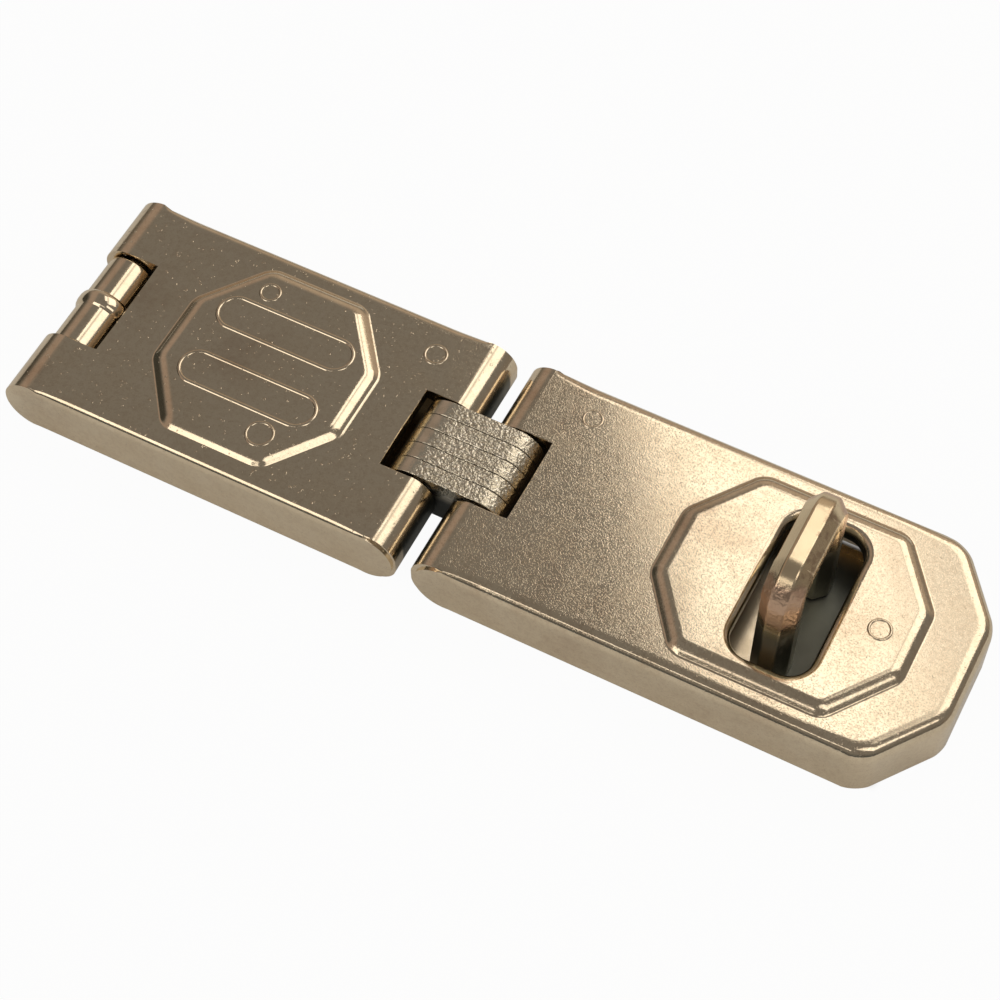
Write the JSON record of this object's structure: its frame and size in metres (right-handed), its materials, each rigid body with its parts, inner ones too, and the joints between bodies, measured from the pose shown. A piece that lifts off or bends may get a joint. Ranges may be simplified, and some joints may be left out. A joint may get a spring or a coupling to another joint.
{
  "type": "hasp and staple",
  "caption": "Double-jointed security hasp of pressed steel covers with raised octagons, joined by a leaf link, and a staple of eight-sided bar that stands through its slot.",
  "frame": {"origin": "middle of the bounding box's bottom, on the mounting surface", "axes": "+X from the hinge end to the free end, +Z out of the mounting surface, +Y across the width"},
  "size_m": [0.195, 0.052, 0.0345],
  "materials": {
    "cover_steel": "warm bright plating",
    "leaf_steel": "rough plating on sheared edges",
    "pin_steel": "plain steel",
    "plate_steel": "warm bright plating",
    "staple_steel": "warm bright plating over hardened bar"
  },
  "bodies": {
    "mounting_plates": {"hinge_base_plate": "plate_steel", "staple_base_plate": "plate_steel", "staple": "staple_steel"},
    "hinge_side": {"hinge_cover": "cover_steel", "hinge_pin": "pin_steel", "link_pin_hinge_side": "pin_steel"},
    "link": {"link_leaf_1": "leaf_steel", "link_leaf_2": "leaf_steel", "link_leaf_3": "leaf_steel", "link_leaf_4": "leaf_steel", "link_leaf_5": "leaf_steel"},
    "hasp_side": {"hasp_cover": "cover_steel", "link_pin_staple_side": "pin_steel"}
  },
  "joints": [
    {"name": "hinge_swing", "type": "hinge", "parent": "mounting_plates", "child": "hinge_side", "pos_m": [-0.091, 0, 0.0065], "axis": [0, -1, 0], "range_deg": [0, 175]},
    {"name": "link_fold", "type": "hinge", "parent": "hinge_side", "child": "link", "pos_m": [-0.0148, 0, 0.0076], "axis": [0, -1, 0], "range_deg": [0, 90]},
    {"name": "hasp_fold", "type": "hinge", "parent": "link", "child": "hasp_side", "pos_m": [-0.0007, 0, 0.0076], "axis": [0, -1, 0], "range_deg": [0, 90]}
  ]
}
